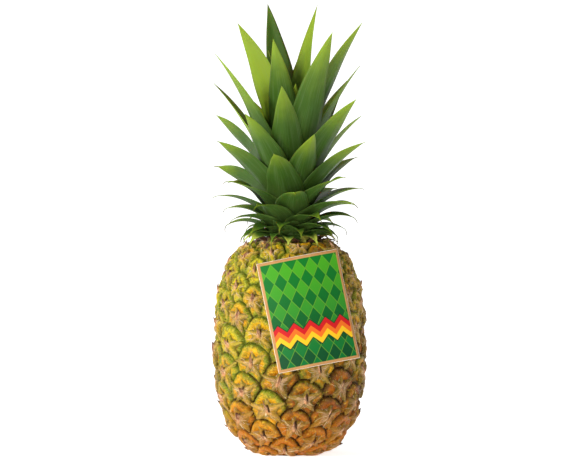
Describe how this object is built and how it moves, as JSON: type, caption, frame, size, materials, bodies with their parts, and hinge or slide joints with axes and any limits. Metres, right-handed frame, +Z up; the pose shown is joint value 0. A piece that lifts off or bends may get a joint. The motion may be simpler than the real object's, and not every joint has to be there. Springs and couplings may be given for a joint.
{
  "type": "pineapple",
  "caption": "Whole ripe pineapple standing on its base, with eyes in relief, a leafy crown and a plain card label at the front.",
  "frame": {"origin": "middle of the flat spot that the fruit stands on", "axes": "+Z up along the fruit and its crown, -Y towards the front, where the label is, +X to the right seen from the front"},
  "size_m": [0.1255, 0.1395, 0.3685],
  "materials": {
    "fruit_skin": "satin waxy skin with dry bracts",
    "crown_leaf": "satin leaf",
    "label_card": "coated card, half gloss"
  },
  "bodies": {
    "root": {"fruit": "fruit_skin", "crown": "crown_leaf", "label_card": "label_card"}
  },
  "joints": []
}
